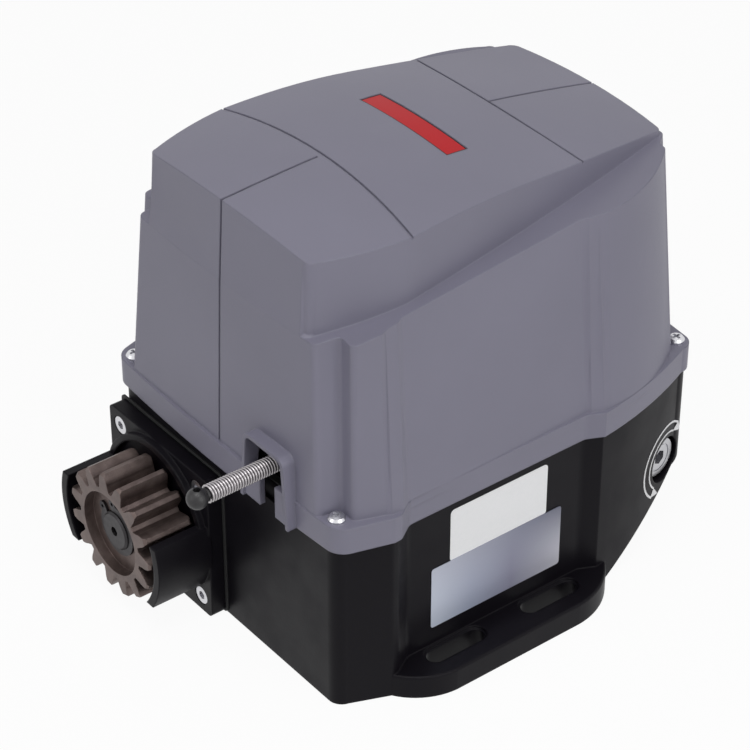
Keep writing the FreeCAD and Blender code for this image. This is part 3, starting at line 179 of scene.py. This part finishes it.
# ---------------------------------------------------------------- finishes of the solids
def shade(red, green, blue):
    """A colour as it is seen, 0 to 255, as the renderer's linear light."""
    linear = []
    for part in (red, green, blue):
        part = part / 255
        linear.append(part / 12.92 if part <= 0.04045 else ((part + 0.055) / 1.055) ** 2.4)
    return (*linear, 1)


def toned(color, factor):
    """The same colour, darker or lighter."""
    return (*(min(1, part * factor) for part in color[:3]), 1)


def moulded_plastic(name, color, rough, grain=1500, depth=0.03 * MM, easing=0.3 * MM):
    """Plastic with a fine spark-eroded grain and faint flow clouds."""
    f = Finish(name)
    clouds = f.noise(scale=14, detail=3)
    fine = f.noise(scale=grain, roughness=0.6)
    tint = f.blend(f.limits(clouds, 0.3, 0.7), toned(color, 0.96), toned(color, 1.04))
    return f.complete(Base_Color=tint, Roughness=f.limits(fine, 0.25, 0.75, rough - 0.04, rough + 0.05),
                      Normal=f.bump(fine, depth, under=f.softened(easing)), IOR=1.49)


def painted_casting(name, color, rough, easing):
    """Satin powder paint over a casting: soft orange peel and small dust marks."""
    f = Finish(name)
    peel = f.noise(scale=900)
    swell = f.noise(scale=60)
    dust = f.limits(f.noise(scale=2600, detail=1), 0.74, 0.82)
    tint = f.blend(dust * 0.15, color, shade(80, 76, 82))
    return f.complete(Base_Color=tint, Roughness=f.limits(swell, 0.3, 0.7, rough - 0.05, rough + 0.06),
                      Normal=f.bump(peel, 0.04 * MM, 0.6, f.softened(easing)), Specular_IOR_Level=0.1)


def metal(name, color, rough, grain=(1, 1, 1), grain_scale=400, depth=0.01 * MM, metallic=1.0):
    """Bare metal with faint stains and with a grain along the stretched axis."""
    f = Finish(name)
    lines = f.noise(scale=grain_scale, detail=3, roughness=0.6, place=f.stretched(*grain))
    stain = f.limits(f.noise(scale=70, detail=3), 0.35, 0.7)
    return f.complete(Base_Color=f.blend(stain * 0.35, color, toned(color, 0.72)), Metallic=metallic,
                      Roughness=f.limits(lines, 0.2, 0.8, rough - 0.06, rough + 0.1),
                      Normal=f.bump(lines, depth))


def sintered_metal(name):
    """Pressed and sintered steel: dull brown-grey with open pores, which are darkened with painted shade."""
    f = Finish(name)
    pores = f.noise(scale=3200, roughness=0.7)
    patches = f.noise(scale=120, detail=4, roughness=0.6)
    tint = f.blend(f.limits(patches, 0.3, 0.7), shade(90, 78, 75), shade(120, 107, 103))
    # painted shade: the open pores are darkened, as shade falls in their hollows
    pitted = f.blend(f.limits(pores, 0.3, 0.42, 1.0, 0.0) * 0.5, tint, shade(52, 42, 40))
    return f.complete(Base_Color=pitted, Metallic=0.85, Roughness=f.limits(patches, 0.2, 0.8, 0.4, 0.52),
                      Normal=f.bump(pores, 0.03 * MM, 0.7, f.softened(0.4 * MM)))


def laminated(name, pitch):
    """Stacked electrical sheet, seen as fine level lines."""
    f = Finish(name)
    height = f.axes()[2]
    waves = f.math("SINE", height * (2 * math.pi / pitch))
    tint = f.blend(f.limits(waves, -1.0, 1.0), shade(92, 94, 98), shade(150, 152, 156))
    return f.complete(Base_Color=tint, Metallic=0.8, Roughness=0.45, Normal=f.bump(waves, 0.03 * MM))


def wound_wire(name):
    """Enamelled copper wire laid in rounds."""
    f = Finish(name)
    strands = f.noise(scale=520, place=f.stretched(1, 1, 3))
    tint = f.blend(f.limits(strands, 0.3, 0.7), shade(150, 72, 30), shade(214, 124, 62))
    return f.complete(Base_Color=tint, Metallic=0.75, Roughness=0.36, Coat_Weight=0.3,
                      Normal=f.bump(strands, 0.2 * MM))


recipes = {
    "cover_plastic": (moulded_plastic, dict(color=shade(123, 121, 137), rough=0.46, grain=1700,
                                            depth=0.03 * MM, easing=1.1 * MM)),
    "black_casting": (painted_casting, dict(color=shade(17, 15, 20), rough=0.4, easing=1.2 * MM)),
    "seal_rubber": (moulded_plastic, dict(color=shade(26, 26, 27), rough=0.68, grain=1200, depth=0.04 * MM)),
    "zinc_steel": (metal, dict(color=shade(214, 214, 218), rough=0.28)),
    "black_steel": (metal, dict(color=shade(58, 56, 58), rough=0.42, metallic=0.7)),
    "sintered_steel": (sintered_metal, {}),
    "ground_steel": (metal, dict(color=shade(196, 196, 200), rough=0.3, grain=(1, 0.05, 1))),
    "spring_steel": (metal, dict(color=shade(178, 174, 176), rough=0.3)),
    "bronze": (metal, dict(color=shade(186, 138, 78), rough=0.34)),
    "bearing_steel": (metal, dict(color=shade(206, 206, 208), rough=0.22)),
    "aluminium_casting": (metal, dict(color=shade(190, 192, 194), rough=0.5, depth=0.03 * MM)),
    "lamination": (laminated, dict(pitch=0.5 * MM)),
    "copper": (wound_wire, {}),
    "black_plastic": (moulded_plastic, dict(color=shade(34, 33, 35), rough=0.44)),
    "red_plastic": (moulded_plastic, dict(color=shade(176, 32, 34), rough=0.38, depth=0.02 * MM)),
    "board_green": (moulded_plastic, dict(color=shade(24, 104, 58), rough=0.32, grain=800, depth=0.02 * MM)),
    "terminal_green": (moulded_plastic, dict(color=shade(52, 142, 84), rough=0.45, depth=0.02 * MM)),
    "relay_blue": (moulded_plastic, dict(color=shade(36, 74, 148), rough=0.3, depth=0.01 * MM)),
    "white_plastic": (moulded_plastic, dict(color=shade(220, 218, 210), rough=0.4, depth=0.02 * MM)),
    "galvanised_sheet": (metal, dict(color=shade(176, 180, 182), rough=0.4, grain_scale=90)),
}
finishes = {name: make(name, **values) for name, (make, values) in recipes.items()}

for entry in frame["record"]["subparts"]:
    solid = nodes[entry["node"]].data
    solid.materials.clear()
    solid.materials.append(finishes[entry["material_slot"]])


# ---------------------------------------------------------------- modelling helpers
def alone(piece):
    """Selects one piece and nothing else."""
    bpy.ops.object.select_all(action="DESELECT")
    piece.select_set(True)
    bpy.context.view_layer.objects.active = piece


@contextmanager
def edit_mode(piece):
    """Shapes one piece in edit mode."""
    alone(piece)
    bpy.ops.object.mode_set(mode="EDIT")
    yield
    bpy.ops.object.mode_set(mode="OBJECT")


def new_piece(name, add, **shape):
    """Adds a primitive with nothing else selected."""
    bpy.ops.object.select_all(action="DESELECT")
    add(**shape)
    piece = bpy.context.object
    piece.name = name
    return piece


def settle(piece):
    """Puts the piece's place, turn and size into its mesh."""
    alone(piece)
    bpy.ops.object.transform_apply(location=True, rotation=True, scale=True)


def apply_all(piece):
    """Applies the piece's modifiers in their order."""
    alone(piece)
    for modifier in list(piece.modifiers):
        bpy.ops.object.modifier_apply(modifier=modifier.name)


def finish_piece(piece, material, body, angle=30.0):
    """Smooths the piece under an edge angle in degrees, and gives it its material, slot and body."""
    alone(piece)
    bpy.ops.object.shade_smooth_by_angle(angle=math.radians(angle))
    piece.data.materials.clear()
    piece.data.materials.append(material)
    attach(piece, body)


# ---------------------------------------------------------------- spring arm
def spring_coil():
    """The arm's spring as a close-wound wire with capped ends."""
    wire_r, pitch, wire_sides, steps = 0.7 * MM, 1.5 * MM, 10, 26
    low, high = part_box("limit_spring")
    ring_r = (high.x - low.x) / 2 - wire_r
    length = high.y - low.y
    turns = int(length / pitch)
    coil = new_piece("limit_spring_coil", bpy.ops.mesh.primitive_circle_add, vertices=wire_sides,
                     radius=wire_r, fill_type="NOTHING", location=(ring_r, 0, 0))
    settle(coil)
    winding = coil.modifiers.new("winding", "SCREW")
    winding.axis = "Y"
    winding.angle = 2 * math.pi
    winding.iterations = turns
    winding.screw_offset = (length - 2 * wire_r) / turns
    winding.steps = steps
    winding.render_steps = steps
    apply_all(coil)
    with edit_mode(coil):
        bpy.ops.mesh.select_all(action="DESELECT")
        bpy.ops.mesh.select_mode(type="EDGE")
        bpy.ops.mesh.select_non_manifold()
        bpy.ops.mesh.edge_face_add()
        bpy.ops.mesh.select_all(action="SELECT")
        bpy.ops.mesh.normals_make_consistent(inside=False)
    near_end = min(vertex.co.y for vertex in coil.data.vertices)
    coil.location = ((low.x + high.x) / 2, low.y - near_end, (low.z + high.z) / 2)
    settle(coil)
    finish_piece(coil, finishes["spring_steel"], "limit_arm", angle=60.0)
    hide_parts("limit_spring")


spring_coil()


# ---------------------------------------------------------------- cover
def line_y(line, x):
    """Reads a broken line of sorted (x, y) points at x."""
    for (x0, y0), (x1, y1) in zip(line, line[1:]):
        if x0 <= x <= x1:
            return y0 + (y1 - y0) * (x - x0) / (x1 - x0)
    return line[0][1] if x < line[0][0] else line[-1][1]


def flush_front(shell):
    """Brings the foot of the upper front wall out to the edge of the wall below it.

    Both lie on a narrow sloped ledge, and a bow across the front parts the one from the other.
    """
    ledge_z, ledge_slope, hair = 202.15 * MM, 0.1, 0.05 * MM
    rearmost, joint_half = -70 * MM, 0.5 * MM
    bow_y, bow_depth, half = -90.03 * MM, 1.73 * MM, 57.7 * MM
    side_half, side_lean, side_y = 64 * MM, 0.3, -88 * MM
    foot_y, fade_y, fade_run, overlap = -87.48 * MM, -87.5 * MM, 12 * MM, 0.02 * MM
    foot, edge = [], []
    for vertex in shell.data.vertices:
        x, y, z = vertex.co
        if abs(z - ledge_z - ledge_slope * y) > hair or y > rearmost or abs(x) < joint_half:
            continue
        if y <= bow_y + bow_depth * (x / half) ** 2:
            edge.append((x, y))
        elif abs(x) <= side_half + side_lean * max(0, y - side_y):
            foot.append(vertex)
    edge.sort()
    for vertex in foot:
        x, y = vertex.co.x, vertex.co.y
        if abs(x) <= half:
            vertex.co.y = line_y(edge, x) + overlap
        else:
            fade = max(0.0, 1 - (y - fade_y) / fade_run)
            vertex.co.y += (line_y(edge, math.copysign(half, x)) - foot_y) * fade
        vertex.co.z = ledge_z + ledge_slope * vertex.co.y


def crisper_steps(shell):
    """Squares up the low steps of the side walls by moving their upright lines a little in X."""
    rim_z, foot_z, height = 105.9 * MM, 107 * MM, 93 * MM
    # (x, y) of a line's foot and head, how far out these go (below zero: in), and its reach, in mm
    steps = (
        ((91.4, -65.5), (79.6, -59.5), -1.3, 0.0, 0.3),
        ((91.6, -59.0), (79.2, -52.8), -1.3, 0.0, 1.3),
        ((89.2, -53.5), (77.6, -49.0), -0.6, 0.0, 1.3),
        ((88.8, 56.0), (80.0, 56.9), 0.6, 0.3, 0.3),
        ((90.8, 62.0), (81.0, 62.1), -1.0, -0.4, 0.3),
    )
    for foot, head, foot_out, head_out, reach in steps:
        for vertex in shell.data.vertices:
            x, y, z = vertex.co
            rise = (z - foot_z) / height
            step_x, step_y = ((a + (b - a) * rise) * MM for a, b in zip(foot, head))
            near = abs(abs(x) - step_x) < reach * MM and abs(y - step_y) < reach * MM
            if near and z > rim_z:
                vertex.co.x += math.copysign((foot_out + (head_out - foot_out) * rise) * MM, x)


def joint_cutter():
    """A thin upright wedge that follows the front wall, about a millimetre deep in it."""
    width, depth, height = 1.3 * MM, 8 * MM, 48 * MM
    centre_y, centre_z = -93.5 * MM, 214 * MM
    low_y, high_y = -89.25 * MM, -86.75 * MM
    cutter = new_piece("joint_cutter", bpy.ops.mesh.primitive_cube_add, size=1,
                       location=(0, centre_y, centre_z), scale=(width, depth, height))
    settle(cutter)
    for corner in cutter.data.vertices:
        if corner.co.y > centre_y:
            corner.co.y = low_y if corner.co.z < centre_z else high_y
    return cutter


def cover_shell():
    """The cover with a flush front wall and its front joint line cut over the whole height."""
    shell = nodes["cover"].copy()
    shell.data = nodes["cover"].data.copy()
    shell.name = "cover_shell"
    scene.collection.objects.link(shell)
    with edit_mode(shell):
        bpy.ops.mesh.select_all(action="SELECT")
        bpy.ops.mesh.remove_doubles(threshold=0.01 * MM)
    bpy.ops.mesh.customdata_custom_splitnormals_clear()
    flush_front(shell)
    crisper_steps(shell)
    cutter = joint_cutter()
    joint = shell.modifiers.new("joint", "BOOLEAN")
    joint.operation = "DIFFERENCE"
    joint.solver = "EXACT"
    joint.object = cutter
    apply_all(shell)
    bpy.data.objects.remove(cutter)
    finish_piece(shell, finishes["cover_plastic"], "housing", angle=18.0)
    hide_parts("cover")


cover_shell()


# ---------------------------------------------------------------- plates and labels
def rounded_sheet(name, length, width, corner, cuts_along=1, cuts_across=1):
    """A flat sheet in X and Y, cut into a grid so that it can follow a curved face."""
    sheet = new_piece(name, bpy.ops.mesh.primitive_grid_add, x_subdivisions=cuts_along,
                      y_subdivisions=cuts_across, size=1, location=(0, 0, 0))
    sheet.scale = (length, width, 1)
    settle(sheet)
    if corner:
        with edit_mode(sheet):
            bpy.ops.mesh.select_all(action="DESELECT")
            bpy.ops.mesh.select_mode(type="VERT")
        inner_x, inner_y = length / 2 - 1e-6, width / 2 - 1e-6
        for vertex in sheet.data.vertices:
            vertex.select = abs(vertex.co.x) > inner_x and abs(vertex.co.y) > inner_y
        with edit_mode(sheet):
            bpy.ops.mesh.bevel(offset=corner, segments=5, affect="VERTICES", clamp_overlap=False)
    return sheet


def thicken(piece, thickness):
    """Gives a sheet its thickness, outwards, and applies all its modifiers."""
    wall = piece.modifiers.new("thickness", "SOLIDIFY")
    wall.thickness = thickness
    wall.offset = 1.0
    apply_all(piece)


def press_on(piece, solid, gap, **ways):
    """Adds the modifier that lays a sheet on a solid, along its normals or the ways that are given."""
    press = piece.modifiers.new("press", "SHRINKWRAP")
    press.wrap_method = "PROJECT"
    press.use_negative_direction = True
    press.target = nodes[solid]
    press.offset = gap
    for way, setting in ways.items():
        setattr(press, way, setting)


def paper_finish():
    """Matt white paper."""
    f = Finish("sticker_paper")
    fibre = f.noise(scale=900, detail=3)
    tint = f.blend(fibre, shade(240, 241, 243), shade(248, 248, 249))
    return f.complete(Base_Color=tint, Roughness=0.5, Normal=f.bump(fibre, 0.01 * MM))


def foil_finish():
    """Silver foil, brushed along its length, with painted reflection and shade: palest along its foot's two
    ends, darkest at the upper rear.
    """
    f = Finish("rating_foil")
    _, y, z = f.axes()
    along = f.limits(y, -39 * MM, 40 * MM)
    up = f.limits(z, 23 * MM, 58 * MM)
    brushed = f.noise(scale=1500, roughness=0.6, place=f.stretched(1, 0.04, 1))
    # painted reflection and shade: the silver's pale and dark bands are set by place, a lower row and an
    # upper row
    foot = f.ramp(along, [(0.0, shade(214, 222, 238)), (0.3, shade(176, 184, 206)),
                          (0.62, shade(150, 150, 172)), (1.0, shade(212, 212, 222))])
    head = f.ramp(along, [(0.0, shade(188, 192, 206)), (0.35, shade(160, 162, 178)),
                          (0.7, shade(128, 130, 148)), (1.0, shade(104, 106, 122))])
    return f.complete(Base_Color=f.blend(up, foot, head), Metallic=0.35,
                      Roughness=f.limits(brushed, 0.2, 0.8, 0.34, 0.42))


side_x, front_y, glue = 88.2 * MM, -91.5 * MM, 0.05 * MM
paper_t, foil_t = 0.12 * MM, 0.3 * MM


def wall_label(name, behind_front, heights, wall_x, thickness, corner, material):
    """A label on the right-hand wall; its runs behind the housing's front and above its foot are in mm."""
    y0, y1 = (front_y + run * MM for run in behind_front)
    z0, z1 = (height * MM for height in heights)
    sheet = rounded_sheet(name, y1 - y0, z1 - z0, corner)
    sheet.rotation_euler = (math.pi / 2, 0, math.pi / 2)
    sheet.location = (wall_x, (y0 + y1) / 2, (z0 + z1) / 2)
    settle(sheet)
    thicken(sheet, thickness)
    finish_piece(sheet, material, "housing")


wall_label("sticker", (63.7, 122.4), (57.2, 87.2), side_x + glue, paper_t, 2.2 * MM,
           paper_finish())
wall_label("rating_plate", (52.6, 131.8), (22.9, 58.0), side_x + glue + paper_t, foil_t, 1.5 * MM,
           foil_finish())


def badge_finish(centre_y, half_x, half_y):
    """Satin red with a dark edge line."""
    f = Finish("badge_red")
    x, y, _ = f.axes()
    inside = (abs(x) < half_x) * (abs(y - centre_y) < half_y)
    red = f.blend(f.noise(scale=1200), shade(188, 18, 28), shade(197, 25, 34))
    return f.complete(Base_Color=f.blend(inside, shade(48, 28, 34), red), Roughness=0.36,
                      Specular_IOR_Level=0.15)


def badge_plate():
    """The bare red plate in the roof's recess."""
    length, width, thickness, centre_y, above_roof = 63.4 * MM, 11.7 * MM, 0.6 * MM, 19 * MM, 250 * MM
    edge_x, edge_y = 0.6 * MM, 0.55 * MM
    plate = rounded_sheet("badge_plate", length, width, 0, cuts_along=24, cuts_across=4)
    plate.location = (0, centre_y, above_roof)
    settle(plate)
    press_on(plate, "cover", glue, use_project_z=True, use_positive_direction=False)
    thicken(plate, thickness)
    red = badge_finish(centre_y, length / 2 - edge_x, width / 2 - edge_y)
    finish_piece(plate, red, "housing")


badge_plate()


# ---------------------------------------------------------------- turning mark round the release lock
def bent_strip(radius, width, start_angle, end_angle):
    """A flat strip bent round the origin in X and Y, between two angles in degrees.

    The bend lifts both ends towards +Y, so the strip is moved until the arc's centre is the origin.
    """
    sweep = math.radians(end_angle - start_angle)
    strip = rounded_sheet("strip", radius * sweep, width, 0, cuts_along=40, cuts_across=2)
    bend = strip.modifiers.new("bend", "SIMPLE_DEFORM")
    bend.deform_method = "BEND"
    bend.deform_axis = "Z"
    bend.angle = sweep
    apply_all(strip)
    strip.location = (0, -radius, 0)
    settle(strip)
    strip.rotation_euler = (0, 0, math.radians((start_angle + end_angle) / 2) + math.pi / 2)
    settle(strip)
    return strip


def arrow_head(radius, size, angle, backwards):
    """A small triangle on the arc that points along it; the angle is in degrees."""
    head = new_piece("head", bpy.ops.mesh.primitive_circle_add, vertices=3, radius=size,
                     fill_type="NGON", location=(0, 0, 0))
    head.scale = (0.8, 1.15, 1)
    settle(head)
    turn = math.radians(angle)
    head.rotation_euler = (0, 0, turn + math.pi if backwards else turn)
    head.location = (radius * math.cos(turn), radius * math.sin(turn), 0)
    settle(head)
    with edit_mode(head):
        bpy.ops.mesh.select_all(action="SELECT")
        bpy.ops.mesh.subdivide(number_cuts=2)
    return head


def turning_mark():
    """White double arc with an arrow head at each end, printed on the wall round the lock."""
    inner_r, outer_r, head_size = 15.1 * MM, 19.9 * MM, 3.9 * MM
    middle_r = (inner_r + outer_r) / 2
    parts = [bent_strip(inner_r, 1.0 * MM, 54, 230), bent_strip(outer_r, 1.2 * MM, 50, 234),
             arrow_head(middle_r, head_size, 46, backwards=True),
             arrow_head(middle_r, head_size, 238, backwards=False)]
    bpy.ops.object.select_all(action="DESELECT")
    for part in parts:
        part.select_set(True)
    bpy.context.view_layer.objects.active = parts[0]
    bpy.ops.object.join()
    mark = parts[0]
    mark.name = "turning_mark"
    wall_turn, lock_at, clear_of_wall = math.radians(12), Vector((79.5, 116, 45)) * MM, 25 * MM
    outward = Vector((math.cos(wall_turn), math.sin(wall_turn), 0))
    rearward = Vector((-outward.y, outward.x, 0))
    mark.matrix_world = Matrix((rearward, (0, 0, 1), outward)).transposed().to_4x4()
    mark.location = lock_at + outward * clear_of_wall
    settle(mark)
    press_on(mark, "base_housing", 0.04 * MM)
    thicken(mark, 0.1 * MM)
    ink = moulded_plastic("mark_ink", shade(236, 236, 238), rough=0.5, grain=900, depth=0.01 * MM)
    finish_piece(mark, ink, "housing")


turning_mark()


# ---------------------------------------------------------------- floor, light and camera
def floor():
    """A white ground that keeps the object's shadow."""
    size, below, white = 8, 0.2 * MM, 0.94
    ground = new_piece("floor", bpy.ops.mesh.primitive_plane_add, size=size, location=(0, 0, -below))
    f = Finish("floor")
    f.complete(Base_Color=(0.9, 0.9, 0.9, 1), Roughness=0.9)
    glow = f.node("ShaderNodeEmission", {}, {"Color": (1, 1, 1, 1), "Strength": 1.0})
    mix = f.node("ShaderNodeMixShader", {}, {0: f.plain_white_rays() * white, 1: f.surface.outputs[0],
                                             2: glow.outputs[0]})
    f.join(mix.outputs[0], f.nodes["Material Output"].inputs["Surface"])
    ground.data.materials.append(f.material)


def surroundings():
    """A dim white room that is plain white where it is seen."""
    room_light = 0.18
    world = bpy.data.worlds.new("studio")
    scene.world = world
    room = Tree(world)
    background = room.nodes["Background"]
    room.join((1, 1, 1, 1), background.inputs["Color"])
    room.join(room.limits(room.plain_white_rays(), 0.0, 1.0, room_light, 1.0), background.inputs["Strength"])


def lamp(name, place, aim, size, power):
    """A soft rectangular lamp that faces a point; its power is in watts."""
    light = bpy.data.lights.new(name, "AREA")
    light.shape = "RECTANGLE"
    light.size, light.size_y = size
    light.energy = power
    holder = bpy.data.objects.new(name, light)
    holder.location = place
    holder.rotation_euler = (Vector(aim) - Vector(place)).to_track_quat("-Z", "Y").to_euler()
    scene.collection.objects.link(holder)


def camera(place, tilt, turn, lens):
    """The view from the front right, above; the angles are in degrees and the lens in mm."""
    eye = bpy.data.cameras.new("camera")
    eye.lens = lens
    eye.sensor_width = 36
    holder = bpy.data.objects.new("camera", eye)
    holder.location = place
    holder.rotation_euler = (math.radians(tilt), 0, math.radians(turn))
    scene.collection.objects.link(holder)
    scene.camera = holder


floor()
surroundings()
lamp("key_lamp", (0.35, -0.35, 1.6), (0, 0, 0.15), (1.0, 1.0), 12.0)
lamp("side_lamp", (1.6, 0.1, 0.7), (0, 0, 0.12), (0.8, 1.0), 8.2)
lamp("front_lamp", (-0.3, -1.6, 0.7), (0, 0, 0.12), (0.8, 0.8), 3.6)
camera((0.8471, -0.6638, 0.8627), 54.75, 52.04, 131.8)
scene.view_settings.view_transform = "Standard"
